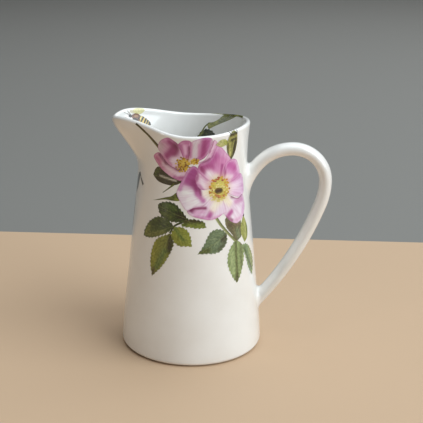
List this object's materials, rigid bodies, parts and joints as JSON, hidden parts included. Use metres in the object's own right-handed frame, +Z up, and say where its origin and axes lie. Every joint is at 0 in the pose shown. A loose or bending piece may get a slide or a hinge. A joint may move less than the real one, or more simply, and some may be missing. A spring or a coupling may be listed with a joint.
{
  "type": "cream jug",
  "caption": "Small round porcelain jug that tapers to a waisted neck, with a pulled spout, a tall ear-shaped handle and printed rose sprays.",
  "frame": {"origin": "on the surface the jug stands on, under the middle of its foot", "axes": "+Z up; the handle points to +X and the spout to -X; the front with the larger spray of roses faces -Y"},
  "size_m": [0.1243, 0.0822, 0.1354],
  "materials": {
    "glazed_porcelain": "glossy clear glaze over white porcelain",
    "bare_foot": "unglazed, wiped smooth",
    "rose_print": "magenta to pale pink transfer under a gloss",
    "leaf_print": "dark to yellow-green transfer under a gloss",
    "stem_print": "dark olive transfer under a gloss",
    "bud_print": "dark green and yellow transfer under a gloss",
    "bee_print": "brown and ochre transfer under a gloss"
  },
  "bodies": {
    "root": {"body": "glazed_porcelain", "foot_ring": "bare_foot", "handle": "glazed_porcelain", "handle_upper_joint": "glazed_porcelain", "handle_lower_joint": "glazed_porcelain", "rosebud_transfer": "bud_print", "right_rose_transfer": "rose_print", "left_rose_transfer": "rose_print", "left_leaves_transfer": "leaf_print", "right_leaves_transfer": "leaf_print", "sepal_leaf_transfer": "leaf_print", "small_leaf_transfer": "leaf_print", "rim_stem_transfer": "stem_print", "spout_sprig_transfer": "leaf_print", "bee_transfer": "bee_print", "inner_sprig_transfer": "leaf_print", "back_rose_transfer": "rose_print", "back_leaves_transfer": "leaf_print"}
  },
  "joints": []
}
